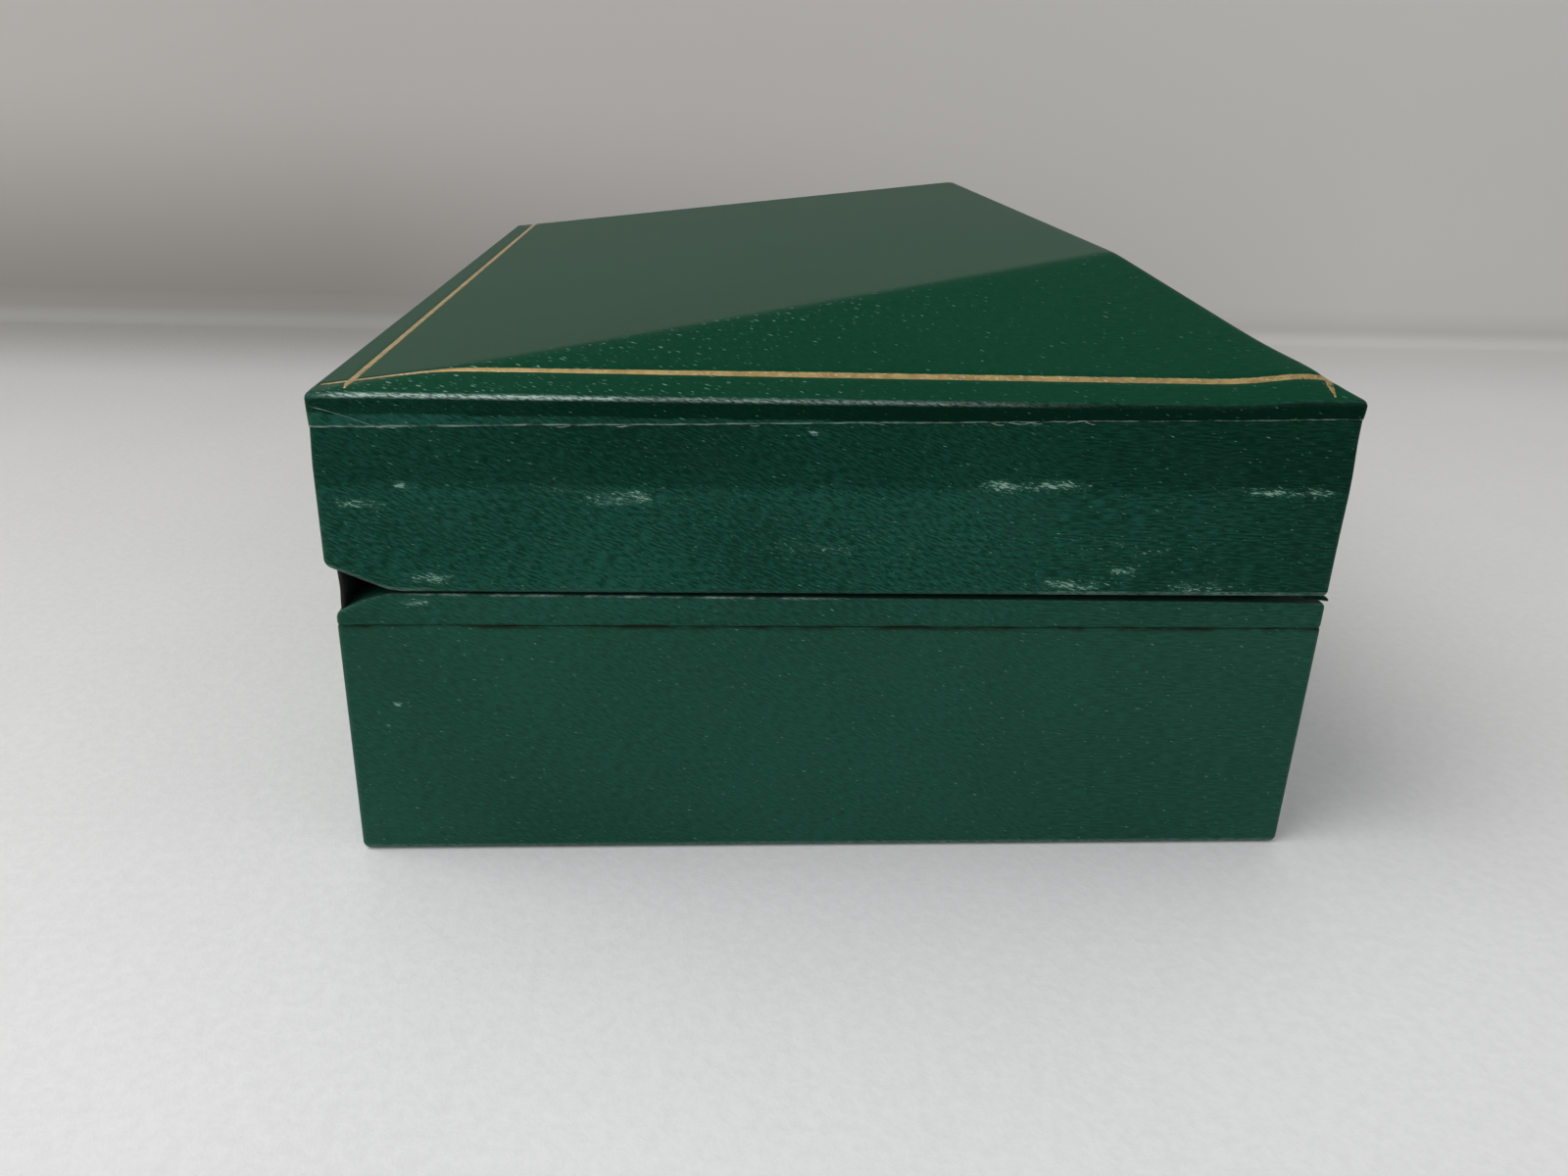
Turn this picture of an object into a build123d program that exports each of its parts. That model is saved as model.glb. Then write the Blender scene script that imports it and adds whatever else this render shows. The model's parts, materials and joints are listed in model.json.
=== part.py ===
from build123d import *
import os
from math import atan, cos

os.makedirs("parts", exist_ok=True)

# A hinged, leatherette-covered watch box. Origin under the middle of the box, +Z up,
# front at -Y, cloth hinge along the rear at +Y, long side along X. Millimetres.

# ---------------------------------------------------------------- driving dimensions
# Outside, over the leatherette
length = 163.4            # along X, parallel to the ridge of the lid
depth = 120.0             # along Y, front to rear
rim_height = 35.3         # top of the base, at the rear
lid_edge_height = 58.9    # where the lid's upright sides meet its sloping top
ridge_height = 72.9
ridge_from_front = 24.3   # the ridge lies nearer the front
ridge_from_end = 25.0
edge_radius = 0.8

# Materials' thicknesses
wall = 6.0                # a wooden wall and its covering
cover = 0.6               # leatherette and glue
floor_board = 3.5
lining = 1.6              # card covered with velvet or satin
hinge_thickness = 0.5

# Parting line and the groove along the hinge
lid_gap = 0.15            # between rim and lid at the rear
rim_fall = 0.75           # the rim sinks this much towards the front
rear_overhang = 0.7       # the lid's rear face stands proud of the base's
lid_bevel_rise, lid_bevel_run = 3.2, 8.0
base_bevel_drop, base_bevel_run = 2.0, 6.5
groove_radius = 9.0       # where a bevel runs into the flat of the rim
bevel_foot_radius = 1.4   # where the base's bevel meets its rear face
hinge_line_above_rim = 0.6
hinge_cloth_above_line = 1.7

# Seams in the covering
rim_strip_height = 4.0
top_sheet_drop_rear, top_sheet_drop_front = 3.8, 1.2
underside_turn_in = 9.0

# Gold line pressed into the top
gold_width = 0.95
gold_inset = 4.4          # from the edge to the line, measured down the slope
gold_depth = 0.15

# Inside
lid_ceiling = 53.9
liner_gap = 0.35          # cloth turned over behind the lining cards
lip_height = 4.0          # the base's lining stands this far above the rim
lip_clearance = 0.9       # between that lining and the lid's
deck_top, deck_thickness = 28.0, 3.0
well_length, well_depth = 82.0, 72.0
cushion_length, cushion_depth = 76.0, 62.0
cushion_top = 34.5
cushion_radius = 11.0
pad_underside = 47.2
fit_gap = 0.25            # dropped-in pieces, all round
edge_softness = 0.4       # rounding of a padded edge, as a share of its thickness

# ---------------------------------------------------------------- worked-out values
front, rear = -depth / 2, depth / 2
base_rear = rear - rear_overhang
end = length / 2
lid_bottom = rim_height + lid_gap
ridge_y = front + ridge_from_front
roof_rise = ridge_height - lid_edge_height
cavity_length, cavity_depth = length - 2 * wall, depth - 2 * wall
seam_height = rim_height - rim_strip_height
floor_top = cover + floor_board
lining_floor_top = floor_top + lining
lip_top = rim_height + lip_height
lid_liner_bottom = lip_top + lip_clearance
hinge_y = base_rear - cover - hinge_thickness / 2
hinge_z = rim_height + hinge_line_above_rim
side_names = ("front", "right", "rear", "left")
selection_margin = 0.01   # for picking edges by height

pieces = {}


# ---------------------------------------------------------------- shared shapes
def base_block(inset=0.0):
    """The base's outer shape: sloping rim, bevelled along the rear, moved in by inset."""
    with BuildSketch(Plane.YZ) as profile:
        with BuildLine():
            Polyline(
                (front, 0),
                (base_rear, 0),
                (base_rear, rim_height - base_bevel_drop),
                (base_rear - base_bevel_run, rim_height),
                (front, rim_height - rim_fall),
                close=True,
            )
        make_face()
        bevel_foot = (base_rear, rim_height - base_bevel_drop)
        fillet(profile.vertices().sort_by_distance(bevel_foot)[0], radius=bevel_foot_radius)
        bevel_head = (base_rear - base_bevel_run, rim_height)
        fillet(profile.vertices().sort_by_distance(bevel_head)[0], radius=groove_radius)
        if inset:
            offset(amount=-inset, mode=Mode.REPLACE)
    with BuildPart() as block:
        extrude(profile.sketch, amount=end - inset, both=True)
        if not inset:
            fillet(block.edges().filter_by(Axis.Z), radius=edge_radius)
    return block.part


def lid_block(inset=0.0):
    """The lid's outer shape: upright sides under a hip roof, moved in by inset."""
    with BuildSketch(Plane.YZ) as side_view:
        with BuildLine():
            Polyline(
                (front, lid_bottom),
                (rear - lid_bevel_run, lid_bottom),
                (rear, lid_bottom + lid_bevel_rise),
                (rear, lid_edge_height),
                (ridge_y, ridge_height),
                (front, lid_edge_height),
                close=True,
            )
        make_face()
        bevel_head = (rear - lid_bevel_run, lid_bottom)
        fillet(side_view.vertices().sort_by_distance(bevel_head)[0], radius=groove_radius)
        if inset:
            offset(amount=-inset, kind=Kind.INTERSECTION, mode=Mode.REPLACE)
    with BuildSketch(Plane.XZ) as front_view:
        with BuildLine():
            Polyline(
                (-end, lid_bottom),
                (end, lid_bottom),
                (end, lid_edge_height),
                (end - ridge_from_end, ridge_height),
                (ridge_from_end - end, ridge_height),
                (-end, lid_edge_height),
                close=True,
            )
        make_face()
        if inset:
            offset(amount=-inset, kind=Kind.INTERSECTION, mode=Mode.REPLACE)
    with BuildPart() as block:
        extrude(side_view.sketch, amount=length, both=True)
        extrude(front_view.sketch, amount=depth, both=True, mode=Mode.INTERSECT)
        if not inset:
            upright = block.edges().filter_by(Axis.Z)
            roof = block.edges().filter_by_position(
                Axis.Z, lid_edge_height - selection_margin, ridge_height + selection_margin
            )
            fillet(upright + roof, radius=edge_radius)
    return block.part


def plan_corners(inset=0.0, rear_inset=None):
    """Corners of the outline seen from above, from front left, moved in by inset."""
    rear_line = rear - (inset if rear_inset is None else rear_inset)
    return (
        (inset - end, front + inset),
        (end - inset, front + inset),
        (end - inset, rear_line),
        (inset - end, rear_line),
    )


def mitred_board(outer, inner, side, bottom, top):
    """One of four upright boards around a frame, its ends cut on the mitre."""
    following = (side + 1) % len(side_names)
    with BuildPart() as board:
        with BuildSketch(Plane.XY.offset(bottom)):
            with BuildLine():
                Polyline(outer[side], outer[following], inner[following], inner[side], close=True)
            make_face()
        extrude(amount=top - bottom)
    return board.part


def soft_block(size_x, size_y, bottom, top, radius):
    """A plain rounded block, standing in for a stuffed or padded piece."""
    with BuildPart() as block:
        with Locations((0, 0, bottom)):
            Box(size_x, size_y, top - bottom, align=(Align.CENTER, Align.CENTER, Align.MIN))
        fillet(block.edges(), radius=radius)
    return block.part


# ---------------------------------------------------------------- base: wooden carcass
for side, side_name in enumerate(side_names):
    with BuildPart() as base_wall:
        add(base_block(cover))
        board = mitred_board(
            plan_corners(cover, rear_overhang + cover), plan_corners(wall), side, 0, rim_height
        )
        add(board, mode=Mode.INTERSECT)
        if side_name != "front":
            # shallow step along the rear that takes the hinge cloth
            with Locations((0, hinge_y, rim_height)):
                Box(length, hinge_thickness, rim_height, mode=Mode.SUBTRACT)
    pieces[f"base_{side_name}_wall"] = base_wall

with BuildPart() as base_floor_board:
    with BuildSketch(Plane.XY.offset(cover)):
        Rectangle(cavity_length, cavity_depth)
    extrude(amount=floor_board)
pieces["base_floor_board"] = base_floor_board

# ---------------------------------------------------------------- base: covering
with BuildPart() as base_side_wrap:
    add(base_block())
    add(base_block(cover), mode=Mode.SUBTRACT)
    split(bisect_by=Plane.XY.offset(seam_height), keep=Keep.BOTTOM)
    with BuildSketch():
        Rectangle(length - 2 * underside_turn_in, depth - 2 * underside_turn_in)
    extrude(amount=cover, mode=Mode.SUBTRACT)
pieces["base_side_wrap"] = base_side_wrap

with BuildPart() as base_rim_strip:
    add(base_block())
    add(base_block(cover), mode=Mode.SUBTRACT)
    split(bisect_by=Plane.XY.offset(seam_height), keep=Keep.TOP)
    with BuildSketch(Plane.XY.offset(seam_height)):
        Rectangle(cavity_length, cavity_depth)
    extrude(amount=rim_strip_height, mode=Mode.SUBTRACT)
    # the hinge cloth passes up through the strip
    with Locations((0, hinge_y, rim_height)):
        Box(length, hinge_thickness, 2 * rim_strip_height, mode=Mode.SUBTRACT)
pieces["base_rim_strip"] = base_rim_strip

with BuildPart() as base_underside_cover:
    with BuildSketch():
        Rectangle(
            length - 2 * underside_turn_in - 2 * fit_gap,
            depth - 2 * underside_turn_in - 2 * fit_gap,
        )
    extrude(amount=cover)
pieces["base_underside_cover"] = base_underside_cover

# The cloth stops short of the lid's bevel; on the real box it goes on behind the covering
hinge_cloth_bottom = rim_height / 2
hinge_cloth_top = hinge_z + hinge_cloth_above_line
with BuildPart() as hinge_cloth:
    with Locations((0, hinge_y, hinge_cloth_bottom)):
        Box(
            length - 2 * cover - 2 * fit_gap,
            hinge_thickness,
            hinge_cloth_top - hinge_cloth_bottom,
            align=(Align.CENTER, Align.CENTER, Align.MIN),
        )
pieces["hinge_cloth"] = hinge_cloth

# ---------------------------------------------------------------- base: lining and insert
liner_outer = wall + liner_gap
liner_inner = liner_outer + lining
for side, side_name in enumerate(side_names):
    with BuildPart() as base_liner:
        outer, inner = plan_corners(liner_outer), plan_corners(liner_inner)
        add(mitred_board(outer, inner, side, floor_top, lip_top))
        fillet(base_liner.edges().group_by(Axis.Z)[-1].filter_by(
            Axis.X if side_name in ("front", "rear") else Axis.Y), radius=lining * edge_softness)
    pieces[f"base_{side_name}_liner"] = base_liner

insert_length = length - 2 * liner_inner - 2 * fit_gap
insert_depth = depth - 2 * liner_inner - 2 * fit_gap
with BuildPart() as lining_floor:
    with BuildSketch(Plane.XY.offset(floor_top)):
        Rectangle(insert_length, insert_depth)
    extrude(amount=lining)
pieces["lining_floor"] = lining_floor

well_x, well_y = well_length / 2, well_depth / 2
deck_underside = deck_top - deck_thickness
well_inner = ((-well_x, -well_y), (well_x, -well_y), (well_x, well_y), (-well_x, well_y))
well_outer = tuple((x + lining * x / well_x, y + lining * y / well_y) for x, y in well_inner)
for side, side_name in enumerate(side_names):
    with BuildPart() as well_card:
        add(mitred_board(well_outer, well_inner, side, lining_floor_top, deck_underside))
    pieces[f"well_{side_name}_card"] = well_card

with BuildPart() as insert_deck:
    with BuildSketch(Plane.XY.offset(deck_underside)):
        Rectangle(insert_length, insert_depth)
        RectangleRounded(well_length, well_depth, lining, mode=Mode.SUBTRACT)
    extrude(amount=deck_thickness)
    top_face = insert_deck.faces().sort_by(Axis.Z)[-1]
    fillet(top_face.inner_wires()[0].edges(), radius=deck_thickness / 3)
pieces["insert_deck"] = insert_deck

with BuildPart() as watch_cushion:
    cushion_bottom = lining_floor_top + fit_gap
    add(soft_block(cushion_length, cushion_depth, cushion_bottom, cushion_top, cushion_radius))
pieces["watch_cushion"] = watch_cushion

# ---------------------------------------------------------------- lid: wooden carcass
for side, side_name in enumerate(side_names):
    with BuildPart() as lid_wall:
        add(lid_block(cover))
        board = mitred_board(plan_corners(cover), plan_corners(wall), side, lid_bottom, lid_ceiling)
        add(board, mode=Mode.INTERSECT)
    pieces[f"lid_{side_name}_wall"] = lid_wall

with BuildPart() as lid_top_board:
    add(lid_block(cover))
    split(bisect_by=Plane.XY.offset(lid_ceiling), keep=Keep.TOP)
pieces["lid_top_board"] = lid_top_board

# ---------------------------------------------------------------- lid: covering
# The top sheet is turned down over the sides and trimmed at a slight slant
top_sheet_slant = (top_sheet_drop_rear - top_sheet_drop_front) / depth
top_sheet_middle = lid_edge_height - (top_sheet_drop_rear + top_sheet_drop_front) / 2
trim_plane = Plane(
    origin=(0, 0, top_sheet_middle), x_dir=(1, 0, 0), z_dir=(0, top_sheet_slant, 1)
)

with BuildPart() as lid_side_wrap:
    add(lid_block())
    add(lid_block(cover), mode=Mode.SUBTRACT)
    split(bisect_by=trim_plane, keep=Keep.BOTTOM)
    with BuildSketch(Plane.XY.offset(lid_bottom)):
        Rectangle(cavity_length, cavity_depth)
    extrude(amount=wall, mode=Mode.SUBTRACT)
pieces["lid_side_wrap"] = lid_side_wrap

end_line_inset = gold_inset * cos(atan(roof_rise / ridge_from_end))
front_line_inset = gold_inset * cos(atan(roof_rise / ridge_from_front))
rear_line_inset = gold_inset * cos(atan(roof_rise / (depth - ridge_from_front)))
line_length, line_depth = length - 3 * edge_radius, depth - 3 * edge_radius
with BuildPart() as gold_border:
    add(lid_block())
    add(lid_block(gold_depth), mode=Mode.SUBTRACT)
    with BuildSketch(Plane.XY.offset(lid_edge_height - edge_radius)):
        with Locations((end - end_line_inset, 0), (end_line_inset - end, 0)):
            Rectangle(gold_width * end_line_inset / gold_inset, line_depth)
        with Locations((0, front + front_line_inset)):
            Rectangle(line_length, gold_width * front_line_inset / gold_inset)
        with Locations((0, rear - rear_line_inset)):
            Rectangle(line_length, gold_width * rear_line_inset / gold_inset)
    extrude(amount=roof_rise, mode=Mode.INTERSECT)
pieces["gold_border"] = gold_border

with BuildPart() as lid_top_cover:
    add(lid_block())
    add(lid_block(cover), mode=Mode.SUBTRACT)
    split(bisect_by=trim_plane, keep=Keep.TOP)
    add(gold_border.part, mode=Mode.SUBTRACT)
pieces["lid_top_cover"] = lid_top_cover

# ---------------------------------------------------------------- lid: lining
for side, side_name in enumerate(side_names):
    with BuildPart() as lid_liner:
        outer, inner = plan_corners(wall), plan_corners(wall + lining)
        add(mitred_board(outer, inner, side, lid_liner_bottom, lid_ceiling))
    pieces[f"lid_{side_name}_liner"] = lid_liner

pad_length = cavity_length - 2 * lining - 2 * fit_gap
pad_depth = cavity_depth - 2 * lining - 2 * fit_gap
with BuildPart() as lid_pad_board:
    with BuildSketch(Plane.XY.offset(lid_ceiling - lining)):
        Rectangle(pad_length, pad_depth)
    extrude(amount=lining)
pieces["lid_pad_board"] = lid_pad_board

with BuildPart() as lid_satin_pad:
    pad_top = lid_ceiling - lining - fit_gap
    pad_rounding = (pad_top - pad_underside) * edge_softness
    add(soft_block(pad_length, pad_depth, pad_underside, pad_top, pad_rounding))
pieces["lid_satin_pad"] = lid_satin_pad

# ---------------------------------------------------------------- one STEP per piece
for name, piece in pieces.items():
    piece.part.label = name
    export_step(piece.part, f"parts/{name}.step")
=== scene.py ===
import json
import math

import bmesh
import bpy
import numpy as np
from mathutils import Euler, Matrix, Vector


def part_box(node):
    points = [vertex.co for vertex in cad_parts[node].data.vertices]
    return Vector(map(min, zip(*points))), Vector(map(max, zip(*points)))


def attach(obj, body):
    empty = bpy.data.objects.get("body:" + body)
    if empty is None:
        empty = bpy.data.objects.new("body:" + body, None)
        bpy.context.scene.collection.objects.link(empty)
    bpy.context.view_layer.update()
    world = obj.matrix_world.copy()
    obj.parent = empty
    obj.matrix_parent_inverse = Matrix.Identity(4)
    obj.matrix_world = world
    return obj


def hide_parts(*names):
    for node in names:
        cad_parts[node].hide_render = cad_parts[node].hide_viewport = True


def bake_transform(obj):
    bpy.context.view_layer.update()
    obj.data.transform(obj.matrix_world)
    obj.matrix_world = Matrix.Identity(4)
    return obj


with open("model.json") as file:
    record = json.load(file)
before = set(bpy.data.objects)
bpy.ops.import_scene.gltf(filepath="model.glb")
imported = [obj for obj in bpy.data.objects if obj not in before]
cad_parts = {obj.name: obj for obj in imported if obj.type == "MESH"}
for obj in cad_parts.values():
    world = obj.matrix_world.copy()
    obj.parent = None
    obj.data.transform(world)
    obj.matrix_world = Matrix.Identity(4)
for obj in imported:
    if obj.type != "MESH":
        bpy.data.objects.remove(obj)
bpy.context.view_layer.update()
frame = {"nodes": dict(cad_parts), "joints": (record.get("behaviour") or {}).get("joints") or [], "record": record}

# A leatherette-covered watch box. Metres; front at -Y, cloth hinge at the rear (+Y), +Z up.
mm = 0.001
random = np.random.default_rng(7)

# ---------------- sizes, from the frame
top_low, top_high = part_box("lid_top_cover")
wrap_low, wrap_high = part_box("lid_side_wrap")
strip_low, strip_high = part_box("base_rim_strip")
half_length, half_depth = top_high.x, top_high.y
base_rear = strip_high.y
lid_bottom = wrap_low.z
trim_rear, trim_front = top_low.z, wrap_high.z   # lower edge of the turned-down top sheet
lid_edge = trim_front + 1.2 * mm                 # where upright sides meet the slopes
rim_rear = strip_high.z
rim_fall = 0.75 * mm                             # how far the rim sinks towards the front
seam_height = strip_low.z
hinge_line = Vector(frame["joints"][0]["pos_m"])

ridge_rise = 14.0 * mm
ridge_from_front = 24.3 * mm
ridge_from_end = 25.0 * mm
ridge_from_rear = 2 * half_depth - ridge_from_front
# the slopes that rise from the front, right, rear and left: their runs in plan, their angles
slope_runs = np.array([ridge_from_front, ridge_from_end, ridge_from_rear, ridge_from_end])
slope_angles = np.arctan(ridge_rise / slope_runs)

wall = 6.0 * mm
card = 1.6 * mm                                  # thickness of a covered lining card
sheet = 0.5 * mm                                 # thickness of the leatherette
corner_radius = 0.9 * mm
fold_radius = 0.9 * mm                           # where the sheet turns over an edge
groove_depth = 0.11 * mm                         # of the seam round the base
gold_inset = 4.4 * mm                            # edge to gold line, down the slope
gold_width = 0.95 * mm
gold_press = 0.1 * mm                            # depth of the pressed line
gold_lines = gold_inset * np.cos(slope_angles)   # the same in plan, for each side


# ---------------- small helpers
def between(start, stop, share):
    return start + (stop - start) * share


def smoothstep(low, high, value):
    """From 0 to 1, with a soft start and end, while value goes from low to high."""
    t = np.clip((value - low) / (high - low), 0, 1)
    return t * t * (3 - 2 * t)


def fade(low, high, distance):
    """From 0 to 1 between two distances in mm."""
    return smoothstep(low * mm, high * mm, distance)


def hump(distance, width):
    """A smooth bump: 1 at no distance, falling away over a width."""
    return np.exp(-(distance / width) ** 2)


def unit(vectors):
    return vectors / np.linalg.norm(vectors, axis=1, keepdims=True)


def ripple(s, waves, seed):
    """A smooth, repeatable wobble between about -1 and 1 along s, with waves given in mm."""
    local = np.random.default_rng(seed)
    total = np.zeros_like(s, dtype=float)
    for wave in waves:
        total += np.sin(2 * math.pi * s / (wave * mm) + local.uniform(0, 2 * math.pi))
    return total / len(waves)


def graded(length, fine=0.3 * mm, coarse=1.0 * mm, margin=7 * mm):
    """Stations from 0 to length, closely spaced within margin of either end."""
    near = np.linspace(0, margin, round(margin / fine) + 1)
    middle = round((length - 2 * margin) / coarse)
    far = np.linspace(margin, length - margin, middle + 1)[1:]
    return np.concatenate([near, far, length - near[::-1][1:]])


def with_height(points, z):
    return np.column_stack([points, np.broadcast_to(z, len(points))])


class Outline:
    """Columns round a rectangle with rounded corners: a base point, an outward direction
    and the distance round the box for each. Side 0 is the front, 1 right, 2 rear, 3 left."""

    def __init__(self, x, front, rear, radius, stations=graded):
        self.radius, self.rear = radius, rear
        corners = np.array([(-x, front), (x, front), (x, rear), (-x, rear)])
        self.corners = corners - radius * np.array([(-1, -1), (1, -1), (1, 1), (-1, 1)])
        quarter = math.pi / 2 * np.arange(1, 8) / 8
        sides = []
        for i in range(4):
            start, stop = self.corners[i], self.corners[(i + 1) % 4]
            run = np.linalg.norm(stop - start)
            direction = (stop - start) / run
            outward = np.array([direction[1], -direction[0]])
            along = stations(run) / run
            share = np.concatenate([along, np.ones_like(quarter)])
            angle = np.concatenate([0 * along, quarter])[:, None]
            sides.append((between(start, stop, share[:, None]),
                          outward * np.cos(angle) + direction * np.sin(angle),
                          np.full(len(share), i), share))
        self.base, self.normal, self.side, self.share = map(np.concatenate, zip(*sides))
        edge = self.base + self.normal * radius
        steps = np.linalg.norm(np.roll(edge, -1, axis=0) - edge, axis=1)
        self.round = np.concatenate([[0], np.cumsum(steps)])

    def at(self, distance):
        """Points at this distance out from the base points (a number, or one per column).
        Further in than the rounding, the outline is a plain rectangle with mitred corners."""
        distance = np.broadcast_to(distance, len(self.base))[:, None]
        points = self.base + self.normal * distance
        inside = np.maximum(-distance, 0)
        mitred = np.clip(points, self.corners.min(axis=0) + inside,
                         self.corners.max(axis=0) - inside)
        return np.where(inside > 0, mitred, points)


def lattice(name, rows, uv=None, closed=True, attributes=None, merge=0.002 * mm):
    """A mesh from rows of points, (row, column, xyz); closed joins last column to first.
    uv is a pair of coordinates in metres, with a column more if closed; attributes are values
    for the points. Points closer than merge are joined."""
    rows = np.asarray(rows, float)
    n_rows, n_columns = rows.shape[:2]
    spans = n_columns if closed else n_columns - 1
    r, c = np.meshgrid(np.arange(n_rows - 1), np.arange(spans), indexing="ij")
    following = (c + 1) % n_columns
    faces = np.stack(
        [r * n_columns + c, r * n_columns + following,
         (r + 1) * n_columns + following, (r + 1) * n_columns + c], axis=-1
    ).reshape(-1, 4)
    mesh = bpy.data.meshes.new(name)
    mesh.vertices.add(n_rows * n_columns)
    place_points(mesh, rows)
    mesh.loops.add(faces.size)
    mesh.loops.foreach_set("vertex_index", faces.astype(np.int32).ravel())
    mesh.polygons.add(len(faces))
    mesh.polygons.foreach_set("loop_start", np.arange(0, faces.size, 4, dtype=np.int32))
    mesh.update(calc_edges=True)
    if uv is not None:
        layer = mesh.uv_layers.new(name="cloth")
        uv = np.stack(np.broadcast_arrays(*uv), axis=2)
        corners = np.stack([uv[r, c], uv[r, c + 1], uv[r + 1, c + 1], uv[r + 1, c]], axis=2)
        layer.data.foreach_set("uv", (corners / mm).astype(np.float32).ravel())
    for key, values in (attributes or {}).items():
        values = np.broadcast_to(values, (n_rows, n_columns)).astype(np.float32)
        mesh.attributes.new(key, "FLOAT", "POINT").data.foreach_set("value", values.ravel())
    if merge:
        weld(mesh, merge)
    mesh.shade_smooth()
    return linked(name, mesh)


def linked(name, data):
    """A new object of the scene with this mesh, lens or lamp."""
    piece = bpy.data.objects.new(name, data)
    bpy.context.scene.collection.objects.link(piece)
    return piece


def weld(mesh, distance):
    """Joins coincident points, drops faces that lost their area and turns faces outwards."""
    work = bmesh.new()
    work.from_mesh(mesh)
    bmesh.ops.remove_doubles(work, verts=work.verts, dist=distance)
    bmesh.ops.dissolve_degenerate(work, dist=distance / 4, edges=work.edges)
    open_edges = [edge for edge in work.edges if edge.is_boundary]
    if open_edges:
        bmesh.ops.holes_fill(work, edges=open_edges)
    bmesh.ops.recalc_face_normals(work, faces=work.faces)
    work.to_mesh(mesh)
    work.free()


def place_points(mesh, points):
    mesh.vertices.foreach_set("co", points.astype(np.float32).ravel())


def points_of(mesh):
    flat = np.empty(len(mesh.vertices) * 3, np.float32)
    mesh.vertices.foreach_get("co", flat)
    return flat.reshape(-1, 3).astype(float)


# ---------------- surfaces of the box
def from_sides(x, y):
    """Distances in from the front, right, rear and left of the lid, one row each."""
    return np.stack([y + half_depth, half_length - x, half_depth - y, x + half_length])


def roof(x, y):
    """Height of the top: four slopes with softly rounded hips and ridge, one lifted corner."""
    soft = 0.016
    slopes = from_sides(x, y) / slope_runs[:, None]
    least = slopes.min(axis=0)
    share = least - soft * np.log(np.exp(-(slopes - least) / soft).sum(axis=0))
    share = np.maximum(share, -0.02) + 0.3 * soft
    to_corner = np.hypot(x + half_length, y + half_depth)
    to_swelling = np.hypot(x + half_length - 3 * mm, y + half_depth - 6.5 * mm)
    lifted = 0.8 * mm * hump(to_swelling, 3.8 * math.sqrt(2) * mm)
    tip = 0.55 * mm * hump(to_corner, 2.2 * math.sqrt(2) * mm)
    return lid_edge + ridge_rise * share + lifted + tip


def pressed(x, y):
    """Depth of the pressed gold line under a point of the top."""
    off = np.abs(from_sides(x, y) - gold_lines[:, None]).min(axis=0)
    return gold_press * (1 - smoothstep(0.42 * gold_width, 0.75 * gold_width, off))


def from_front(y):
    """How far back a point is, as a share of the lid's depth."""
    return (y + half_depth) / (2 * half_depth)


def rim(y):
    """Top of the base: sinks a little to the front and falls away in a bevel at the rear."""
    bevel, drop = 7.2 * mm, 2.6 * mm
    behind = np.maximum(y - (base_rear - bevel), 0)
    return rim_rear - rim_fall * (1 - from_front(y)) - drop * (behind / bevel) ** 1.6


def lid_under(y):
    """Lower edge of the lid: level, rising in a bevel at the rear that starts with a curve."""
    bevel, lift, soft = 8.6 * mm, 3.2 * mm, 2.2 * mm
    behind = np.maximum(y - (half_depth - bevel), 0)
    rise = np.where(behind < soft, behind ** 2 / (2 * soft), behind - soft / 2)
    return lid_bottom + lift * rise / (bevel - soft / 2)


def trim(y):
    """Lower edge of the turned-down top sheet."""
    return between(trim_front, trim_rear, from_front(y))


# ---------------- wear on the leatherette
# rubbed patches on the left end: distance from the rear face, height, half run and half rise,
# all in mm, and strength
lid_marks = [
    (4.6, 46.2, 4.3, 0.9, 0.9), (9.6, 48.6, 0.9, 0.6, 1.4), (35.3, 47.2, 6.5, 1.2, 1.0),
    (27.0, 48.2, 2.4, 0.7, 0.7), (52.3, 54.0, 0.6, 0.3, 2.0), (56.2, 55.2, 0.8, 0.3, 1.9),
    (83.0, 49.5, 7.0, 0.8, 1.05), (77.2, 49.2, 3.2, 1.0, 0.8), (111.0, 48.9, 11.5, 0.8, 0.9),
    (88.0, 36.9, 6.0, 1.1, 1.0), (94.2, 38.6, 2.3, 0.8, 1.1), (103.5, 36.6, 6.0, 1.1, 0.9),
    (12.4, 37.3, 3.6, 1.0, 1.1), (62.0, 42.0, 30.0, 5.0, 0.28), (95.0, 41.5, 16.0, 4.0, 0.3),
    (56.0, 41.3, 5.0, 0.7, 0.55),
]
base_marks = [
    (6.9, 20.8, 0.9, 0.4, 1.7), (47.0, 23.4, 0.6, 0.3, 1.6), (38.8, 2.7, 1.5, 0.7, 0.85),
    (13.6, 3.6, 1.3, 0.6, 0.8), (90.0, 7.5, 8.0, 3.0, 0.3), (10.6, 34.3, 3.4, 0.9, 0.85),
    (28.0, 15.0, 18.0, 0.4, 0.5), (5.0, 17.5, 4.0, 1.2, 0.5), (60.0, 0.5, 60.0, 0.7, 0.5),
]


def marks_at(marks, x, y, z):
    """Rubbed patches on the left end, and a thinner scatter of the same on the other sides."""
    def patches(y, z):
        total = 0
        for from_rear, height, half_run, half_rise, strength in marks:
            far = (((y - half_depth) / mm + from_rear) / half_run) ** 2
            far += ((z / mm - height) / half_rise) ** 2
            total = total + strength * np.exp(-far * 1.6)
        return total

    left = patches(y, z)
    right = patches(-y * 0.9 + 7 * mm, z + 1.1 * mm)
    long_sides = patches(x * 0.7 + 9 * mm, z - 0.8 * mm)
    on_left = x < -half_length + 1.5 * mm
    on_right = x > half_length - 1.5 * mm
    return np.where(on_left, left, np.where(on_right, 0.7 * right, 0.7 * long_sides))


# ---------------- leatherette shells
lid_outline = Outline(half_length, -half_depth, half_depth, corner_radius)
base_outline = Outline(half_length, -half_depth, base_rear, corner_radius)


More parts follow.
